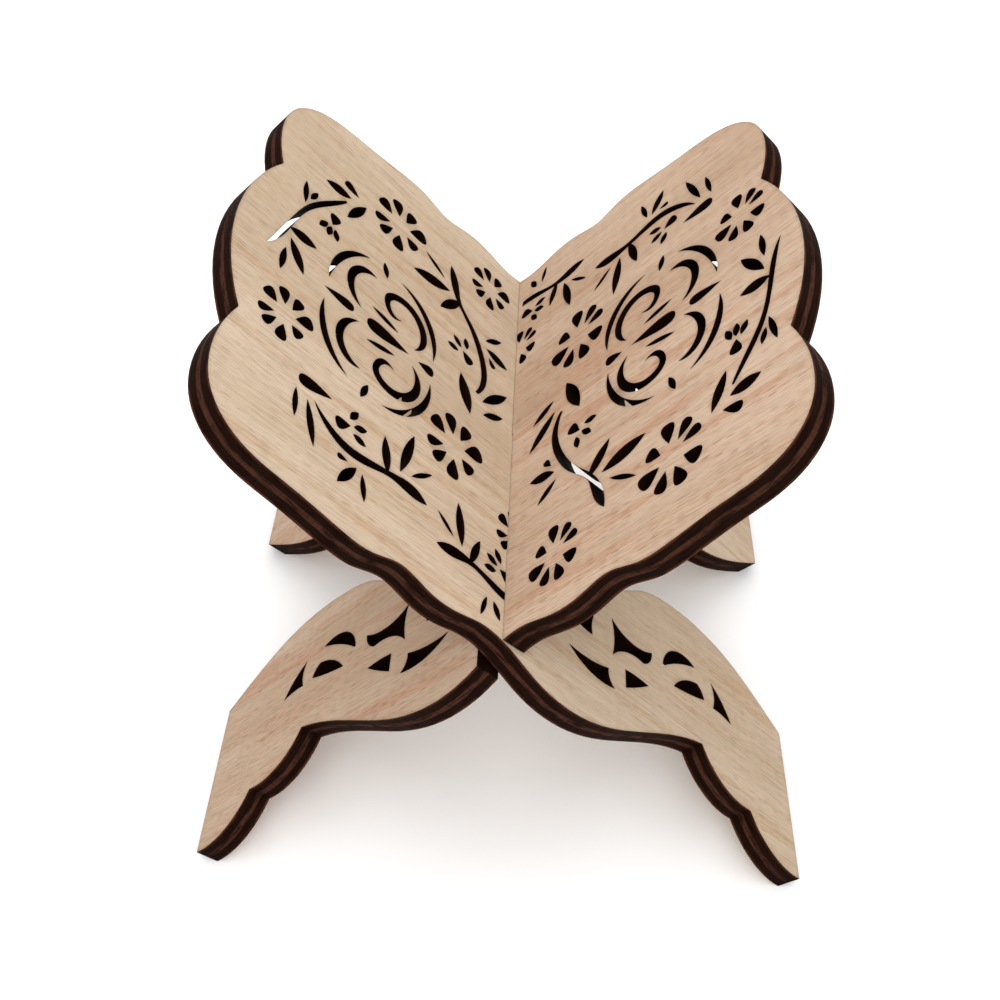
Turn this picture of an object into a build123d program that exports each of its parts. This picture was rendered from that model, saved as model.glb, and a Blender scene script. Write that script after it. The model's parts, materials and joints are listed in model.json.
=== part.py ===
from build123d import *
from math import cos, radians, sin
import os

# Slotted book stand: two fretted plywood boards crossed in an X, each sawn out of three glued plies.
# Millimetres. The origin is on the ground under the middle of the crossing. +X is to the reader's right,
# +Y is away from the reader, and +Z is up. The boards are alike: the right one is the left one turned half
# a turn about Z. A point of a board is (s, u): s along the crossing, u up the wing from the crossing line.

# ---- driving dimensions ----
LEAN = 46.4  # slope of each wing above the ground, degrees
PLY_THICKNESS = {"upper_face_ply": 2.0, "core_ply": 2.0, "lower_face_ply": 2.0}
BOARD_THICKNESS = sum(PLY_THICKNESS.values())

CROWN = 81.5  # top of the wing's middle lobe, from the crossing line
NOTCH = (25.5, 75)  # where the middle lobe meets a side lobe
HEEL = (50.5, -68.5)  # inner corner above the upper scallop of a leg
ANKLE = (60, -86.5)  # inner corner between the two scallops
SCALLOP_BULGE = 3.2  # how far each scallop bows out from its chord
LEG_LENGTH = 105  # from the crossing line to the end of the foot
FOOT_OUTER = 70
FOOT_INNER = 29.5

SLOT_TOP = 0.15  # the slot's upper wall, just clear of the other board's upper face
SLOT_BOTTOM = -7.2
SLOT_END = -0.15  # each slot runs from just short of the middle out past the board's edge
SLOT_REACH = 80

RIGHT_ORNAMENT_RISE = 3.4  # the right board's ornament sits this much further up its board

# One side of a board, from the notch round the side lobe, down the waved edge and the leg to the heel.
SIDE_EDGE = [
    NOTCH,
    (33.5, 77.3),
    (41, 77.7),
    (48.5, 75.8),
    (54.5, 70.5),
    (57.5, 63),
    (58.5, 55),
    (59.5, 48),
    (60.5, 41.5),
    (60.5, 35.5),
    (58.7, 28),
    (60.4, 21),
    (60.8, 13),
    (59.5, 5.5),
    (60.8, -2),
    (64.5, -11),
    (66, -21),
    (64.5, -31),
    (59.5, -44),
    (54, -56.5),
    HEEL,
]

# The opening between the two legs of a board, from one foot to the top of its arch.
LEG_ARCH = [
    (FOOT_INNER, -LEG_LENGTH),
    (24, -96),
    (17.8, -83.5),
    (14.8, -71),
    (14.6, -59),
    (17.6, -47),
    (22.6, -38),
    (21.6, -29),
    (12.5, -22.5),
    (0, -20.5),
]

# ---- ornament: every motif is cut right through the board ----
# A daisy's petals for a radius of 1: bearing in degrees, inner end, outer end, width.
DAISY = [
    (112, 0.4, 0.96, 0.32),
    (57, 0.43, 0.96, 0.48),
    (15, 0.41, 1.04, 0.4),
    (-22, 0.41, 1.01, 0.38),
    (-65, 0.34, 0.99, 0.5),
    (-125, 0.31, 0.76, 0.42),
    (180, 0.37, 1.01, 0.42),
    (142, 0.41, 1.01, 0.33),
]
FLOWERS = [((-18.5, 65), 7.2), ((39, 41.5), 8.8), ((-18.5, 17.5), 9), ((45.5, 10.5), 7.4)]
HALF_FLOWER = ((-31, -2.5), 6.5)
HALF_FLOWER_BEARINGS = (15, 180)  # only its upper petals are cut, above the crossing

# A bud: where its cup is, the bearing that its three seeds fan round, and the angle between them.
BUDS = [((-35, 47), 293, 38), ((13, 16.5), 48, 40), ((21.2, 59.4), 172, 24), ((-43.5, 0), 65, 33)]
SEED_REACH = (2.8, 6.5)
SEED_WIDTH = 1.8
CUP_LENGTH = 4.0
CUP_WIDTH = 3.2

# Stems that end in a leaf: points of the middle line, each with the width of the cut there.
STEMS = [
    [(-34.5, 54.5, 0), (-38.5, 50, 1.7), (-40.5, 44.5, 2.3), (-40, 39, 2), (-39, 33.5, 1.7),
     (-39, 28.5, 3.1), (-40, 23.5, 0)],
    [(-49, -2, 1.8), (-48, 4, 1.9), (-46.5, 10, 1.5), (-46.8, 15, 2.9), (-47.5, 20, 0)],
    [(4, 12.5, 0.9), (11, 10.5, 1.9), (19, 12.5, 2.1), (25.5, 16.5, 1.7), (30, 20.5, 1.5),
     (35, 22.5, 2.7), (41.5, 24.5, 0)],
    [(-2.5, 73.5, 0), (5, 70.5, 1.4), (12.5, 68.5, 1.2), (19, 66, 1.4), (25, 62, 1.5), (31, 57.5, 0.6)],
]

# Leaves with a point at each end: the two points, and the width.
LEAF_BELLY = 2 / 3  # a leaf's curves pull this share of its width to each side, so it has its full width
LEAVES = [
    ((-46, 52.5), (-35.5, 56), 1.8),
    ((-42, 58), (-34.5, 59), 1.4),
    ((-50, 46), (-43.5, 42), 2.3),
    ((-50.5, 39), (-44, 40.5), 1.5),
    ((-39.5, 34.5), (-30, 36.5), 2.4),
    ((-36.5, 31.5), (-24, 29), 2.5),
    ((-35.5, 28.5), (-31, 23), 1.3),
    ((-44, 13), (-33, 15), 2.5),
    ((-43, 15.5), (-39, 20.5), 1.2),
    ((-47, 10.5), (-39, 8), 2.1),
    ((-57.5, 6.5), (-52, 5), 1.3),
    ((-56, 1), (-52, 3), 1.8),
    ((-4.5, 14), (6.5, 18), 3.6),
    ((-1.5, 10), (2.5, 3.5), 2),
    ((2.5, 10.5), (11, 2.5), 2.6),
    ((22, 10.5), (20.5, 3), 2.8),
    ((24.5, 11), (29, 5.5), 1.7),
    ((31, 20), (23, 26.5), 2.8),
    ((31.5, 24), (28.5, 36), 3.6),
    ((34.5, 26), (38.5, 33), 1.4),
    ((33.5, 56.5), (32.5, 64), 3.1),
    ((26, 56.5), (35, 52), 2.5),
    ((-3.5, 63.5), (4.5, 68.5), 2.6),
    ((-7, 69), (0.5, 69), 1.7),
    ((7.5, 69.5), (7.5, 62), 3.1),
    ((19, 67.5), (26.5, 68.5), 1.6),
    ((21.5, 66.5), (25.5, 65), 1.5),
]

# Drops with a point at the first end and a round second end.
DROP_WAIST = (0.45, 0.42)  # the pull of the pointed half: along its length, and to each side by its width
DROP_CHEEK = 0.82  # the pull of the round end to each side, by its width
DROPS = [
    ((-31, 50.5), (-31.5, 59), 3.4),
    ((-43.5, 44.3), (-43.5, 47), 1.5),
    ((36, 54.5), (38, 59), 2.9),
    ((19.5, 9.5), (17, 7.5), 1.9),
]

# The scrolled rosette in the middle of a wing, about its own centre. Its right half is mirrored.
ROSETTE_CENTRE = (-1.5, 42)
ROSETTE_AXIS_DROPS = [((0, -8.4), (0, 4), 4.2), ((0, 16.2), (0, 7.8), 3), ((0, -11.2), (0, -16), 3)]
ROSETTE_SCROLLS = [
    [(2.6, -9.6, 0), (7.6, -12, 1.9), (13, -9.9, 2.3), (15.2, -4.6, 2.2), (12.4, -0.4, 1.9),
     (8.4, -1.8, 1.5), (8.6, -5.2, 0)],
    [(2.4, 6, 0), (6, 9.5, 1.8), (11.4, 9.9, 2.1), (15.2, 6.9, 1.7), (15.6, 3.5, 0)],
    [(3.6, 15.5, 0), (10.4, 14.7, 1.7), (16.8, 11.2, 1.6), (20.4, 6.2, 0)],
    [(3.8, -15.4, 0), (11.2, -14.6, 1.7), (17.8, -10.2, 1.7), (21, -3.2, 0)],
]
ROSETTE_LEAVES = [((18.4, 0.8), (23.2, 2.2), 1.7), ((3.9, -4.7), (5.7, 3.4), 1.5)]

# Cut-outs of a leg, as corners in turn: each (s, u, bow) has the bow of the arc to the next corner.
LEG_PANELS = [
    [(49, -20.5, 1.9), (52.5, -36, -0.8), (48, -34, -0.8)],
    [(42, -28.5, -0.4), (36.5, -29, 0.6), (40, -20.5, 0.6)],
    [(43.5, -35.5, -1.7), (39.5, -47, 1), (34.5, -50.5, -2.3), (33, -35.5, -0.8)],
    [(50, -40, 0.2), (45, -48.5, 0.3), (45, -40, 0)],
    [(36, -54.5, -0.8), (29, -68, 4.2)],
    [(39.5, -58.5, 0.3), (37, -71, 0.5), (33.5, -68.5, 1.2)],
    [(37.5, -74.5, -0.4), (38.5, -82, 0.8), (30, -74.5, -0.9)],
]


def leaf(root, tip, width):
    """A leaf with a point at each end."""
    root = Vector(*root)
    tip = Vector(*tip)
    third = (tip - root) / 3
    side = third.normalized().rotate(Axis.Z, 90) * width * LEAF_BELLY
    with BuildLine() as rim:
        Bezier(root, root + third + side, tip - third + side, tip)
        Bezier(tip, tip - third - side, root + third - side, root)
    make_face(rim.edges())


def drop(root, tip, width):
    """A drop with a point at its root and a round tip."""
    root = Vector(*root)
    tip = Vector(*tip)
    side = (tip - root).normalized().rotate(Axis.Z, 90) * width
    middle = root + (tip - root) * DROP_WAIST[0]
    waist = side * DROP_WAIST[1]
    cheek = side * DROP_CHEEK
    with BuildLine() as rim:
        Bezier(root, middle + waist, tip + cheek, tip)
        Bezier(tip, tip - cheek, middle - waist, root)
    make_face(rim.edges())


def stroke(middle):
    """A curved cut that follows its middle line, with the stated width at each point."""
    points = [Vector(s, u) for s, u, _ in middle]
    left = []
    right = []
    for i, (_, _, width) in enumerate(middle):
        before = points[max(i - 1, 0)]
        after = points[min(i + 1, len(points) - 1)]
        side = (after - before).normalized().rotate(Axis.Z, 90) * width / 2
        left.append(points[i] + side)
        right.append(points[i] - side)
    with BuildLine() as rim:
        Spline(*left)
        Spline(*right)
        for end in (0, -1):
            if middle[end][2] > 0:
                Line(left[end], right[end])
    make_face(rim.edges())


def daisy(centre, radius, bearings=(-180, 180)):
    """A ring of petals of uneven size, with a solid middle."""
    for bearing, inner, outer, width in DAISY:
        if bearings[0] <= bearing <= bearings[1]:
            ray = Vector(1, 0).rotate(Axis.Z, bearing) * radius
            middle = Vector(*centre)
            drop(middle + ray * inner, middle + ray * outer, width * radius)


def bud(centre, bearing, fan):
    """A cup with three seeds fanned out in front of it."""
    middle = Vector(*centre)
    ray = Vector(1, 0).rotate(Axis.Z, bearing)
    drop(middle + ray * CUP_LENGTH / 2, middle - ray * CUP_LENGTH / 2, CUP_WIDTH)
    for turn in (-fan, 0, fan):
        seed = ray.rotate(Axis.Z, turn)
        leaf(middle + seed * SEED_REACH[0], middle + seed * SEED_REACH[1], SEED_WIDTH)


def panel(corners):
    """A cut-out bounded by arcs, each bowed out from its chord by the stated amount."""
    with BuildLine() as rim:
        for i, (s, u, bow) in enumerate(corners):
            start = Vector(s, u)
            end = Vector(*corners[(i + 1) % len(corners)][:2])
            if bow:
                SagittaArc(start, end, bow)
            else:
                Line(start, end)
    make_face(rim.edges())


# ---- the outline, the ornament, and each board's flat pattern ----
with BuildSketch() as outline:
    with BuildLine():
        Spline(*SIDE_EDGE)
        SagittaArc(HEEL, ANKLE, SCALLOP_BULGE)
        SagittaArc(ANKLE, (FOOT_OUTER, -LEG_LENGTH), SCALLOP_BULGE)
        Line((FOOT_OUTER, -LEG_LENGTH), (FOOT_INNER, -LEG_LENGTH))
        mirror(about=Plane.YZ)
        ThreePointArc((-NOTCH[0], NOTCH[1]), (0, CROWN), NOTCH)
        Spline(*LEG_ARCH, *[(-s, u) for s, u in reversed(LEG_ARCH[:-1])])
    make_face()
    with Locations((SLOT_END, SLOT_BOTTOM)):
        Rectangle(
            SLOT_REACH,
            SLOT_TOP - SLOT_BOTTOM,
            align=(Align.MIN, Align.MIN),
            mode=Mode.SUBTRACT,
        )

with BuildSketch() as rosette:
    for scroll in ROSETTE_SCROLLS:
        stroke(scroll)
    for root, tip, width in ROSETTE_LEAVES:
        leaf(root, tip, width)
    mirror(about=Plane.YZ)
    for root, tip, width in ROSETTE_AXIS_DROPS:
        drop(root, tip, width)

with BuildSketch() as leg_ornament:
    for corners in LEG_PANELS:
        panel(corners)
    mirror(about=Plane.YZ)

with BuildSketch() as ornament:
    for centre, radius in FLOWERS:
        daisy(centre, radius)
    daisy(*HALF_FLOWER, HALF_FLOWER_BEARINGS)
    for centre, bearing, fan in BUDS:
        bud(centre, bearing, fan)
    for stem in STEMS:
        stroke(stem)
    for root, tip, width in LEAVES:
        leaf(root, tip, width)
    for root, tip, width in DROPS:
        drop(root, tip, width)
    with Locations(ROSETTE_CENTRE):
        add(rosette.sketch)
    add(leg_ornament.sketch)

with BuildSketch() as left_pattern:
    add(outline.sketch)
    add(ornament.sketch, mode=Mode.SUBTRACT)

with BuildSketch() as right_pattern:
    add(outline.sketch)
    with Locations((0, RIGHT_ORNAMENT_RISE)):
        add(ornament.sketch, mode=Mode.SUBTRACT)

# ---- where each board stands: its upper face, with s along the crossing ----
crossing_height = LEG_LENGTH * sin(radians(LEAN)) + BOARD_THICKNESS * cos(radians(LEAN))
left_plane = Plane(
    origin=(0, 0, crossing_height),
    x_dir=(0, 1, 0),
    z_dir=(sin(radians(LEAN)), 0, cos(radians(LEAN))),
)
right_plane = Plane(
    origin=(0, 0, crossing_height),
    x_dir=(0, -1, 0),
    z_dir=(-sin(radians(LEAN)), 0, cos(radians(LEAN))),
)

# ---- the plies ----
os.makedirs("parts", exist_ok=True)
for side, plane, pattern in (
    ("left", left_plane, left_pattern),
    ("right", right_plane, right_pattern),
):
    depth = 0
    for layer, thickness in PLY_THICKNESS.items():
        with BuildPart() as ply:
            with BuildSketch(plane.offset(-depth)):
                add(pattern.sketch)
            extrude(amount=-thickness)
        ply.part.label = f"{side}_board_{layer}"
        export_step(ply.part, f"parts/{ply.part.label}.step")
        depth += thickness
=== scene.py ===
import json
from math import atan2, radians, tan

import bpy
from mathutils import Matrix, Vector


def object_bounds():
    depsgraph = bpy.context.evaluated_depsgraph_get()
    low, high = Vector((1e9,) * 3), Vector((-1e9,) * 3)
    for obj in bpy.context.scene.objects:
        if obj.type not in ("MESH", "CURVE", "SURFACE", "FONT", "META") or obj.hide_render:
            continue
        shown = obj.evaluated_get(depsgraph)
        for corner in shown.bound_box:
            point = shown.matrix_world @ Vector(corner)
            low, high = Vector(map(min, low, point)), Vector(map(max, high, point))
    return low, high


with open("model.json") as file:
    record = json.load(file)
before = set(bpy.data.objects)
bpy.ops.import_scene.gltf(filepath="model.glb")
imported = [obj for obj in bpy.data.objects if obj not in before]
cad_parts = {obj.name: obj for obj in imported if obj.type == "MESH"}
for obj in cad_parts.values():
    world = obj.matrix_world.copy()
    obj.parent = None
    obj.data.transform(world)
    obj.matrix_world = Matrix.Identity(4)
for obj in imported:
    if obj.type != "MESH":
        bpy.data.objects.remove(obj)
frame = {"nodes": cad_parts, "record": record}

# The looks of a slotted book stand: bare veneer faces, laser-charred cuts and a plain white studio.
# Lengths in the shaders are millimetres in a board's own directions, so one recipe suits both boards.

cad_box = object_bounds()

# ---- the boards' slope and crossing line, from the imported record's book rests ----
rest = {mount["name"]: mount for mount in frame["record"]["mounts"]}["right_book_rest"]
LEAN = atan2(-rest["axis"][0], rest["axis"][2])
CROSSING = Vector((0, 0, rest["pos_m"][2] - rest["pos_m"][0] * tan(LEAN)))
MM_PER_METRE = 1000
BOARD_THICKNESS = 6.0
PLY_THICKNESS = BOARD_THICKNESS / 3

# ---- colours, linear ----
WOOD = {
    "left": {
        "pale": (0.57, 0.452, 0.336),
        "deep": (0.49, 0.377, 0.267),
        "streak": (0.48, 0.335, 0.215),
        "pore": (0.25, 0.165, 0.1),
        "pore_strength": (0.15, 0.4),
    },
    "right": {
        "pale": (0.54, 0.405, 0.3),
        "deep": (0.46, 0.33, 0.23),
        "streak": (0.47, 0.28, 0.185),
        "pore": (0.26, 0.14, 0.082),
        "pore_strength": (0.25, 0.6),
    },
}
SMOKE = (0.42, 0.26, 0.1)
SCORCH = (0.035, 0.014, 0.008)
# near-black burnt wood, also used as the painted shade on the walls of narrow cuts
CHAR_AND_SHADE = (0.007, 0.0024, 0.0014)
CHARRED_CORE = (0.056, 0.022, 0.0135)
CHAR_EDGE = (0.09, 0.03, 0.016)
FLOOR_WHITES = ((0.94, 0.94, 0.94), (0.96, 0.96, 0.96))

# ---- how long each feature is, in mm: along the crossing, up the wing and through the board ----
TONES = (22, 150, 60)
GROWTH_BANDS = (2.6, 120, 40)
FIBRES = (0.22, 18, 12)
PORES = (0.19, 3.2, 5)
RUDDY_STREAKS = (4, 60, 30)
SMOKE_CLOUDS = (7, 11, 9)
BEAM_RIDGES = (0.4, 0.4, 9)
CHAR_STREAKS = (5, 5, 0.8)
FLOOR_CLOUDS = (0.4, 0.4, 0.4)

# ---- the surfaces: where each board's veneer was cut from the sheet, lengths in mm, and settings ----
SHEET_PLACE = {"left": (17.0, 5.0, 3.0), "right": (61.0, 23.0, 11.0)}
SMOKE_REACH = 1.7
# reach in mm of the painted shade that blackens the walls of narrow cuts
NARROW_CUT_SHADE_REACH = 12
RIM_DEPTH = 0.15
WOOD_RELIEF = 0.06
FLOOR_RELIEF = 0.01
FLOOR_ROUGHNESS = 0.9
FACE_COSINE = 0.7
BARE_GLOSS = 0.01
OPENNESS_SAMPLES = 6

# ---- the studio and the reader's eye: metres, watts and degrees; the eye is placed from the crossing ----
FLOOR_SIZE = 30
SKY_STRENGTH = 0.75
PANELS = {
    "top_panel": {"place": (0, 0.1, 0.75), "size": 0.9, "power": 4},
    "key_panel": {"place": (0, -0.55, 0.75), "size": 0.5, "power": 2.9},
}
EYE_OFFSET = Vector((0.0034, -0.206, 0.1926))
EYE_YAW = 1.69
EYE_DIP = 46.2
EYE_ROLL = 0.95
LENS_MM = 43.2
SENSOR_MM = 36
CLIP_START = 0.01


class Shader:
    """Short calls for building a material's node tree."""

    def __init__(self, name):
        self.material = bpy.data.materials.new(name)
        self.material.use_nodes = True
        self.tree = self.material.node_tree
        self.tree.nodes.clear()

    def add(self, kind, inputs=None, **settings):
        node = self.tree.nodes.new("ShaderNode" + kind)
        for key, value in settings.items():
            setattr(node, key, value)
        for key, value in (inputs or {}).items():
            if isinstance(value, bpy.types.NodeSocket):
                self.tree.links.new(value, node.inputs[key])
            elif isinstance(value, tuple) and node.inputs[key].type == "RGBA":
                node.inputs[key].default_value = (*value, 1)
            else:
                node.inputs[key].default_value = value
        return node

    def math(self, operation, a, b=0.0):
        return self.add("Math", {0: a, 1: b}, operation=operation).outputs[0]

    def ramp(self, value, low, high, start=0.0, end=1.0):
        """The value mapped smoothly from low..high to start..end, and held at both ends."""
        inputs = {"Value": value, "From Min": low, "From Max": high, "To Min": start, "To Max": end}
        return self.add("MapRange", inputs, interpolation_type="SMOOTHSTEP").outputs["Result"]

    def mix(self, share, a, b):
        return self.add("Mix", {0: share, 6: a, 7: b}, data_type="RGBA").outputs[2]

    def noise(self, point, stretch, detail, shift=(0, 0, 0), roughness=0.55):
        """Noise whose features are about as long, in millimetres, as stretch says in each direction."""
        scale = tuple(1 / length for length in stretch)
        placed = self.add("Mapping", {"Vector": point, "Location": shift, "Scale": scale})
        inputs = {"Vector": placed.outputs[0], "Scale": 1.0, "Detail": detail, "Roughness": roughness}
        return self.add("TexNoise", inputs).outputs["Fac"]

    def board_point(self, side):
        """Where the shaded point is on its board: along the crossing, up the wing, above the upper face."""
        axes = board_axes(side)
        turn = axes.to_euler()
        move = axes @ CROSSING * -MM_PER_METRE
        local = self.add("TexCoord").outputs["Object"]
        scale = (MM_PER_METRE,) * 3
        inputs = {"Vector": local, "Location": move, "Rotation": turn, "Scale": scale}
        return self.add("Mapping", inputs).outputs[0]

    def on_face(self, side):
        """1 on a board's two flat faces, 0 on the walls of its cuts."""
        normal = self.add("TexCoord").outputs["Normal"]
        inputs = {0: normal, 1: board_axes(side)[2]}
        along = self.add("VectorMath", inputs, operation="DOT_PRODUCT").outputs["Value"]
        return self.math("GREATER_THAN", self.math("ABSOLUTE", along), FACE_COSINE)

    def openness(self, reach, **settings):
        """The share of directions that meet no surface within reach millimetres."""
        inputs = {"Distance": reach / MM_PER_METRE}
        return self.add("AmbientOcclusion", inputs, samples=OPENNESS_SAMPLES, **settings).outputs["AO"]

    def finish(self, colour, roughness, height, relief):
        """The material, whose height stands out by relief millimetres."""
        bump = self.add("Bump", {"Height": height, "Distance": relief / MM_PER_METRE})
        inputs = {"Base Color": colour, "Roughness": roughness, "Normal": bump.outputs[0]}
        surface = self.add("BsdfPrincipled", inputs)
        surface.inputs["Specular IOR Level"].default_value = BARE_GLOSS
        output = self.add("OutputMaterial")
        self.tree.links.new(surface.outputs[0], output.inputs["Surface"])
        return self.material


def board_axes(side):
    """A board's own directions as matrix rows: along the crossing, up the wing, and out of its upper face."""
    if side == "left":
        face = Matrix.Rotation(LEAN, 3, "Y")
        return Matrix(((0, 1, 0), -face.col[0], face.col[2]))
    face = Matrix.Rotation(-LEAN, 3, "Y")
    return Matrix(((0, -1, 0), face.col[0], face.col[2]))


def veneer(shader, point, side, shift):
    """Bare veneer with its grain up the wing, cut from its sheet at shift: the colour, and its height."""
    wood = WOOD[side]
    broad = shader.noise(point, TONES, 2, shift)
    bands = shader.noise(point, GROWTH_BANDS, 3, shift)
    fibres = shader.noise(point, FIBRES, 3, shift, 0.7)
    pores = shader.noise(point, PORES, 0, shift)
    ruddy = shader.noise(point, RUDDY_STREAKS, 3, (shift[1], shift[2], shift[0]))
    colour = shader.mix(shader.ramp(broad, 0.35, 0.68), wood["pale"], wood["deep"])
    colour = shader.mix(shader.ramp(bands, 0.5, 0.7, 0, 0.45), colour, wood["deep"])
    colour = shader.mix(shader.ramp(ruddy, 0.5, 0.68, 0, 0.8), colour, wood["streak"])
    colour = shader.mix(shader.ramp(fibres, 0.46, 0.64, 0, 0.42), colour, wood["pore"])
    dots = shader.ramp(pores, 0.6, 0.68)
    strength = shader.ramp(ruddy, 0.4, 0.62, *wood["pore_strength"])
    colour = shader.mix(shader.math("MULTIPLY", dots, strength), colour, wood["pore"])
    height = shader.math("SUBTRACT", fibres, shader.math("MULTIPLY", dots, 0.5))
    return colour, height


def charred_wall(shader, point, band):
    """The burnt wall of a cut, faintly ridged through the thickness by the beam, and blacker where the cut is
    narrow, partly from heavier burning and partly as painted shade of the narrow recess: the colour, and its
    height."""
    ridges = shader.noise(point, BEAM_RIDGES, 2)
    streaks = shader.noise(point, CHAR_STREAKS, 3)
    colour = shader.mix(shader.ramp(ridges, 0.4, 0.75, 0, 0.35), band, CHAR_AND_SHADE)
    colour = shader.mix(shader.ramp(streaks, 0.42, 0.66, 0, 0.8), colour, CHAR_AND_SHADE)
    # painted shade, on top of heavier burning: walls with surfaces all round within reach, as in a narrow
    # cut, go towards black
    colour = shader.mix(shader.ramp(shader.openness(NARROW_CUT_SHADE_REACH), 0.9, 0.55), colour, CHAR_AND_SHADE)
    return colour, ridges


def face_ply(side, layer):
    """An outer ply: veneer on its face, smoked near the cuts, and a nearly black wall."""
    shader = Shader(f"{side}_{layer}")
    point = shader.board_point(side)
    upper = layer == "upper_face_ply"
    shift = SHEET_PLACE[side]
    if not upper:
        shift = (shift[2], shift[0], shift[1])
    colour, fibres = veneer(shader, point, side, shift)
    openness = shader.openness(SMOKE_REACH, inside=True, only_local=True)
    clouds = shader.noise(point, SMOKE_CLOUDS, 2, shift)
    smoky = shader.ramp(clouds, 0.58, 0.7, 0, 0.5) if upper else shader.ramp(clouds, 0.3, 0.6, 0.2, 0.9)
    smoke = shader.math("MULTIPLY", shader.ramp(openness, 0.98, 0.55), smoky)
    colour = shader.mix(smoke, colour, SMOKE)
    colour = shader.mix(shader.ramp(openness, 0.6, 0.48, 0, 0.3), colour, SCORCH)
    depth = shader.add("SeparateXYZ", {0: point}).outputs[2]
    rim = -RIM_DEPTH if upper else RIM_DEPTH - BOARD_THICKNESS
    from_rim = shader.math("ABSOLUTE", shader.math("SUBTRACT", depth, rim))
    band = shader.mix(shader.ramp(from_rim, 0.5, 0.1), SCORCH, CHAR_EDGE)
    wall, ridges = charred_wall(shader, point, band)
    wall = shader.mix(shader.ramp(from_rim, 0.1, 0.7, 0.1, 0.8), wall, CHAR_AND_SHADE)
    on_face = shader.on_face(side)
    colour = shader.mix(on_face, wall, colour)
    height = shader.add("Mix", {0: on_face, 2: ridges, 3: fibres}).outputs[0]
    roughness = shader.ramp(fibres, 0.3, 0.7, 0.55, 0.7)
    return shader.finish(colour, roughness, height, WOOD_RELIEF)


def core_ply(side):
    """The middle ply, seen only in the cuts: a browner band of burnt end grain."""
    shader = Shader(f"{side}_core_ply")
    point = shader.board_point(side)
    colour, ridges = charred_wall(shader, point, CHARRED_CORE)
    depth = shader.add("SeparateXYZ", {0: point}).outputs[2]
    from_middle = shader.math("ABSOLUTE", shader.math("ADD", depth, BOARD_THICKNESS / 2))
    glue = shader.ramp(from_middle, PLY_THICKNESS * 0.2, PLY_THICKNESS * 0.5)
    colour = shader.mix(glue, colour, CHAR_AND_SHADE)
    roughness = shader.ramp(ridges, 0.3, 0.7, 0.6, 0.8)
    return shader.finish(colour, roughness, ridges, WOOD_RELIEF)


def dress_boards():
    for name, node in frame["nodes"].items():
        side, layer = name.split("_board_")
        material = core_ply(side) if layer == "core_ply" else face_ply(side, layer)
        node.data.materials.clear()
        node.data.materials.append(material)


def floor():
    shader = Shader("white_floor")
    cloud = shader.noise(shader.add("TexCoord").outputs["Object"], FLOOR_CLOUDS, 2)
    colour = shader.mix(cloud, *FLOOR_WHITES)
    material = shader.finish(colour, FLOOR_ROUGHNESS, cloud, FLOOR_RELIEF)
    bpy.ops.mesh.primitive_plane_add(size=FLOOR_SIZE, location=(0, 0, cad_box[0].z))
    plane = bpy.context.object
    plane.name = "white_floor"
    plane.data.materials.append(material)


def panel_light(name, aim, place, size, power):
    light = bpy.data.lights.new(name, "AREA")
    light.size = size
    light.energy = power
    lamp = bpy.data.objects.new(name, light)
    lamp.location = place
    lamp.rotation_euler = (aim - Vector(place)).to_track_quat("-Z", "Y").to_euler()
    bpy.context.scene.collection.objects.link(lamp)


def studio():
    """A white room with a broad soft panel overhead and a weaker one over the reader."""
    world = bpy.data.worlds.new("studio")
    world.use_nodes = True
    sky = world.node_tree.nodes["Background"]
    sky.inputs["Color"].default_value = (1, 1, 1, 1)
    sky.inputs["Strength"].default_value = SKY_STRENGTH
    bpy.context.scene.world = world
    middle = (cad_box[0] + cad_box[1]) / 2
    for name, panel in PANELS.items():
        panel_light(name, middle, **panel)
    bpy.context.scene.view_settings.view_transform = "Standard"


def camera():
    """The reader's view: from in front and above, a little right of the middle."""
    lens = bpy.data.cameras.new("reader")
    lens.sensor_width = SENSOR_MM
    lens.lens = LENS_MM
    lens.clip_start = CLIP_START
    eye = bpy.data.objects.new("reader", lens)
    yaw, tilt, roll = radians(EYE_YAW), radians(90 - EYE_DIP), radians(EYE_ROLL)
    turn = Matrix.Rotation(yaw, 4, "Z") @ Matrix.Rotation(tilt, 4, "X") @ Matrix.Rotation(roll, 4, "Z")
    eye.matrix_world = Matrix.Translation(CROSSING + EYE_OFFSET) @ turn
    bpy.context.scene.collection.objects.link(eye)
    bpy.context.scene.camera = eye


dress_boards()
floor()
studio()
camera()
